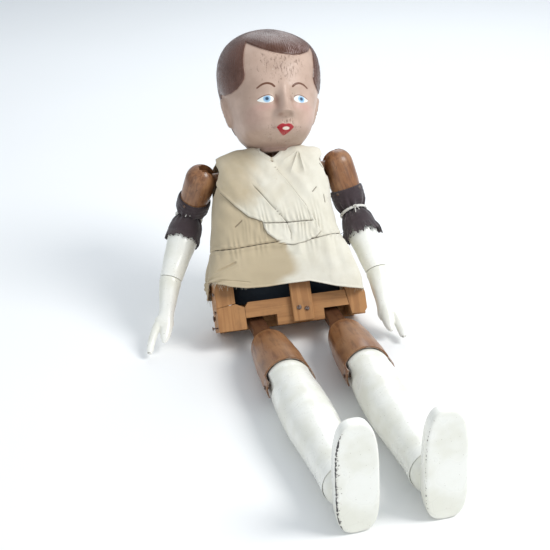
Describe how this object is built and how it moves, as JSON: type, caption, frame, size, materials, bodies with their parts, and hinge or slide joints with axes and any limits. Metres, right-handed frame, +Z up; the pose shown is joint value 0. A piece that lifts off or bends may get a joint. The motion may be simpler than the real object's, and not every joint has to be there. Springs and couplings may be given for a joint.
{
  "type": "artist mannequin",
  "caption": "Jointed carved-wood child lay figure with a painted head, cloth-bound elbows, a pinned pelvis frame and a linen tunic, shown seated.",
  "frame": {"origin": "on the ground under the flat planed on the lower back edge of the pelvis, at the figure's middle", "axes": "+Z up, the figure faces -Y, +X towards its left side"},
  "size_m": [0.2927, 0.5468, 0.3123],
  "materials": {
    "pine": "bare pine, hand sawn",
    "varnished_wood": "brown varnish, rubbed",
    "cream_paint": "wood under cream-white gloss paint",
    "face_paint": "carved wood under crackled skin-coloured paint",
    "elbow_cloth": "dark woven cloth",
    "linen": "unbleached linen, stained",
    "dark_lining": "dark blue stuffed cloth",
    "string": "white twine",
    "nail_steel": "rusty iron"
  },
  "bodies": {
    "torso": {"front_rail": "pine", "right_end_block": "pine", "right_stile": "pine", "left_end_block": "pine", "left_stile": "pine", "right_side_board": "pine", "left_side_board": "pine", "back_rail": "pine", "centre_slat": "pine", "centre_block": "pine", "back_board": "pine", "shoulder_board": "pine", "body_padding": "dark_lining", "tunic": "linen", "side_nail_1": "nail_steel", "side_nail_2": "nail_steel", "side_nail_3": "nail_steel", "slat_nail_1": "nail_steel", "slat_nail_2": "nail_steel", "right_hip_axle": "nail_steel", "left_hip_axle": "nail_steel"},
    "neck": {"neck_ball_peg": "varnished_wood"},
    "head": {"head": "face_paint"},
    "right_shoulder": {"right_shoulder_peg": "varnished_wood"},
    "right_upper_arm": {"right_upper_arm": "varnished_wood", "right_shoulder_pin": "nail_steel", "right_elbow_band": "elbow_cloth", "right_elbow_tack_1": "nail_steel", "right_elbow_tack_2": "nail_steel"},
    "right_forearm": {"right_forearm": "cream_paint", "right_elbow_cap": "elbow_cloth", "right_elbow_string": "string"},
    "right_hand": {"right_hand": "cream_paint", "right_wrist_dowel": "varnished_wood"},
    "right_thigh": {"right_thigh": "varnished_wood"},
    "right_shin": {"right_shin": "cream_paint", "right_knee_pin": "nail_steel"},
    "right_foot": {"right_foot": "cream_paint", "right_ankle_pin": "nail_steel"},
    "left_shoulder": {"left_shoulder_peg": "varnished_wood"},
    "left_upper_arm": {"left_upper_arm": "varnished_wood", "left_shoulder_pin": "nail_steel", "left_elbow_band": "elbow_cloth", "left_elbow_tack_1": "nail_steel", "left_elbow_tack_2": "nail_steel"},
    "left_forearm": {"left_forearm": "cream_paint", "left_elbow_cap": "elbow_cloth", "left_elbow_string": "string"},
    "left_hand": {"left_hand": "cream_paint", "left_wrist_dowel": "varnished_wood"},
    "left_thigh": {"left_thigh": "varnished_wood"},
    "left_shin": {"left_shin": "cream_paint", "left_knee_pin": "nail_steel"},
    "left_foot": {"left_foot": "cream_paint", "left_ankle_pin": "nail_steel"}
  },
  "joints": [
    {"name": "neck_nod", "type": "hinge", "parent": "torso", "child": "neck", "pos_m": [0.006, 0.05149, 0.16854], "axis": [1, 0, 0], "range_deg": [-6, 5]},
    {"name": "head_turn", "type": "hinge", "parent": "neck", "child": "head", "pos_m": [0.006, 0.05149, 0.16854], "axis": [0, 0.4817, 0.8763], "range_deg": [-50, 50]},
    {"name": "right_shoulder_swing", "type": "hinge", "parent": "torso", "child": "right_shoulder", "pos_m": [-0.079, 0.05486, 0.16326], "axis": [1, 0, 0], "range_deg": [-140, 12]},
    {"name": "right_shoulder_spread", "type": "hinge", "parent": "right_shoulder", "child": "right_upper_arm", "pos_m": [-0.079, 0.05486, 0.16326], "axis": [0, 0.9437, 0.3308], "range_deg": [-5, 55]},
    {"name": "right_elbow", "type": "hinge", "parent": "right_upper_arm", "child": "right_forearm", "pos_m": [-0.0936, 0.0715, 0.1158], "axis": [-0.9147, 0.1997, 0.3514], "range_deg": [-61, 15]},
    {"name": "right_wrist_turn", "type": "hinge", "parent": "right_forearm", "child": "right_hand", "pos_m": [-0.12575, 0.01712, 0.06302], "axis": [0.3905, 0.6606, 0.6412], "range_deg": [-75, 75]},
    {"name": "left_shoulder_swing", "type": "hinge", "parent": "torso", "child": "left_shoulder", "pos_m": [0.079, 0.05486, 0.16326], "axis": [1, 0, 0], "range_deg": [-100, 45]},
    {"name": "left_shoulder_spread", "type": "hinge", "parent": "left_shoulder", "child": "left_upper_arm", "pos_m": [0.079, 0.05486, 0.16326], "axis": [0, -0.9322, 0.362], "range_deg": [0, 55]},
    {"name": "left_elbow", "type": "hinge", "parent": "left_upper_arm", "child": "left_forearm", "pos_m": [0.0905, 0.0355, 0.1134], "axis": [-0.9746, -0.0019, -0.2241], "range_deg": [-26, 50]},
    {"name": "left_wrist_turn", "type": "hinge", "parent": "left_forearm", "child": "left_hand", "pos_m": [0.10249, -0.0216, 0.06175], "axis": [-0.1538, 0.7328, 0.6628], "range_deg": [-75, 75]},
    {"name": "right_hip", "type": "hinge", "parent": "torso", "child": "right_thigh", "pos_m": [-0.0425, -0.02077, 0.02568], "axis": [1, 0, 0], "range_deg": [0, 75]},
    {"name": "right_knee", "type": "hinge", "parent": "right_thigh", "child": "right_shin", "pos_m": [-0.02912, -0.1772, 0.0266], "axis": [0.9964, 0.0852, 0], "range_deg": [0, 90]},
    {"name": "right_ankle", "type": "hinge", "parent": "right_shin", "child": "right_foot", "pos_m": [-0.0143, -0.35057, 0.0266], "axis": [0.9964, 0.0852, 0], "range_deg": [-12, 12]},
    {"name": "left_hip", "type": "hinge", "parent": "torso", "child": "left_thigh", "pos_m": [0.0425, -0.02077, 0.02568], "axis": [1, 0, 0], "range_deg": [0, 75]},
    {"name": "left_knee", "type": "hinge", "parent": "left_thigh", "child": "left_shin", "pos_m": [0.05223, -0.17747, 0.0266], "axis": [0.9981, 0.062, 0], "range_deg": [0, 90]},
    {"name": "left_ankle", "type": "hinge", "parent": "left_shin", "child": "left_foot", "pos_m": [0.06301, -0.35113, 0.0266], "axis": [0.9981, 0.062, 0], "range_deg": [-12, 12]}
  ]
}
